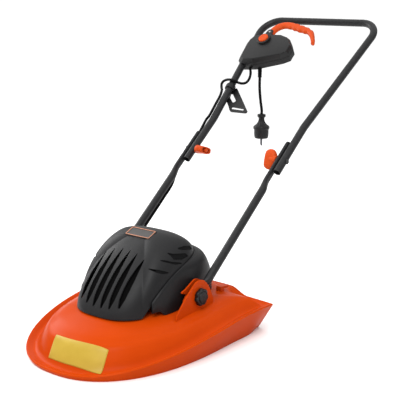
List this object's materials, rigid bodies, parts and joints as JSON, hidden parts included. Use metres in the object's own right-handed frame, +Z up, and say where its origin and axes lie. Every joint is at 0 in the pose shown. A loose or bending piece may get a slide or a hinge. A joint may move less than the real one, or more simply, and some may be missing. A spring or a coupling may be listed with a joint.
{
  "type": "hover mower",
  "caption": "Electric hover lawn mower with a domed bell-shaped deck, slotted motor cover, fan and blade, and a folding tube handle with switch box, grip lever, cable hook and plug lead.",
  "frame": {"origin": "on the ground under the blade axis, where the rim of the hood stands", "axes": "+Z up along the blade axis, -Y to the front nose of the hood, +Y to the handle and the user, +X to the user's left with the user behind the handle"},
  "size_m": [0.448, 1.0228, 0.694],
  "materials": {
    "orange_shell": "glossy moulded, bright orange",
    "orange_grip": "satin moulded, bright orange",
    "cover_black": "fine matte texture, charcoal black",
    "box_black": "satin moulded, black",
    "badge": "bare plate, no marking",
    "tube_black": "satin black powder coat",
    "zinc_steel": "zinc plated",
    "laminations": "stacked sheet, lacquered",
    "copper_wire": "enamelled wire",
    "alloy": "die cast",
    "blade_steel": "ground edge",
    "lead_black": "matte cable sheath",
    "carbon": "dull",
    "fan_grey": "satin moulded, dark grey"
  },
  "bodies": {
    "deck": {"hood": "orange_shell", "top_cover": "cover_black", "rear_cover": "cover_black", "badge_plate": "badge", "cover_screws": "zinc_steel", "mount_plate": "alloy", "mount_screws": "zinc_steel", "stator_core": "laminations", "field_coils": "copper_wire", "end_bracket": "alloy", "stator_bolts": "zinc_steel", "bearing_lower": "zinc_steel", "bearing_upper": "zinc_steel", "brush_boxes": "alloy", "brushes": "carbon", "lead_gland": "lead_black", "lead_deck": "lead_black", "pivot_bolt_left": "zinc_steel", "pivot_bolt_right": "zinc_steel"},
    "rotor": {"motor_shaft": "zinc_steel", "armature_core": "laminations", "armature_winding": "copper_wire", "commutator": "copper_wire", "fan": "fan_grey", "blade_spacer": "alloy", "blade": "blade_steel", "blade_washer": "zinc_steel", "blade_bolt": "zinc_steel"},
    "pivot_knob_left": {"pivot_knob_left": "box_black"},
    "pivot_knob_right": {"pivot_knob_right": "box_black"},
    "lower_handle": {"lower_tube_left": "tube_black", "lower_tube_right": "tube_black", "lead_lower": "lead_black"},
    "upper_handle": {"upper_handle": "tube_black", "switch_lower": "box_black", "switch_upper": "box_black", "switch_screws": "zinc_steel", "micro_switch": "carbon", "lever_pin": "zinc_steel", "lead_upper": "lead_black", "cord_sleeve": "lead_black", "plug_lead": "lead_black", "plug": "box_black", "plug_pins": "zinc_steel", "fold_bolt_left": "tube_black", "fold_bolt_right": "tube_black"},
    "wing_knob_left": {"wing_knob_left": "orange_grip"},
    "wing_knob_right": {"wing_knob_right": "orange_grip"},
    "switch_lever": {"switch_lever": "orange_grip"},
    "lock_button": {"lock_button": "orange_grip"},
    "cable_hook": {"cable_hook": "box_black"}
  },
  "joints": [
    {"name": "blade_spin", "type": "hinge", "parent": "deck", "child": "rotor", "pos_m": [0, 0, 0.05], "axis": [0, 0, 1], "continuous": true},
    {"name": "handle_pivot", "type": "hinge", "parent": "deck", "child": "lower_handle", "pos_m": [0, 0.03, 0.115], "axis": [1, 0, 0], "range_deg": [-25, 55]},
    {"name": "handle_fold", "type": "hinge", "parent": "lower_handle", "child": "upper_handle", "pos_m": [0, 0.3454, 0.37224], "axis": [1, 0, 0], "range_deg": [0, 130]},
    {"name": "pivot_knob_left_turn", "type": "hinge", "parent": "deck", "child": "pivot_knob_left", "pos_m": [0.147, 0.03, 0.115], "axis": [1, 0, 0], "continuous": true},
    {"name": "pivot_knob_right_turn", "type": "hinge", "parent": "deck", "child": "pivot_knob_right", "pos_m": [-0.147, 0.03, 0.115], "axis": [1, 0, 0], "continuous": true},
    {"name": "wing_knob_left_turn", "type": "hinge", "parent": "upper_handle", "child": "wing_knob_left", "pos_m": [0.118, 0.3454, 0.37224], "axis": [1, 0, 0], "continuous": true},
    {"name": "wing_knob_right_turn", "type": "hinge", "parent": "upper_handle", "child": "wing_knob_right", "pos_m": [-0.108, 0.3454, 0.37224], "axis": [1, 0, 0], "continuous": true},
    {"name": "switch_lever_squeeze", "type": "hinge", "parent": "upper_handle", "child": "switch_lever", "pos_m": [-0.118, 0.67785, 0.64338], "axis": [0, -0.632, 0.7749], "range_deg": [0, 3.5], "stiffness_Nm_per_rad": 6, "springref_deg": -3.44},
    {"name": "lock_button_press", "type": "slide", "parent": "upper_handle", "child": "lock_button", "axis": [0, 0.632, -0.7749], "range_m": [0, 0.005], "stiffness_N_per_m": 400, "springref_m": -0.003},
    {"name": "cable_hook_swing", "type": "hinge", "parent": "upper_handle", "child": "cable_hook", "pos_m": [-0.14184, 0.51821, 0.51318], "axis": [-0.1139, 0.7699, 0.6279], "range_deg": [-40, 40]}
  ]
}
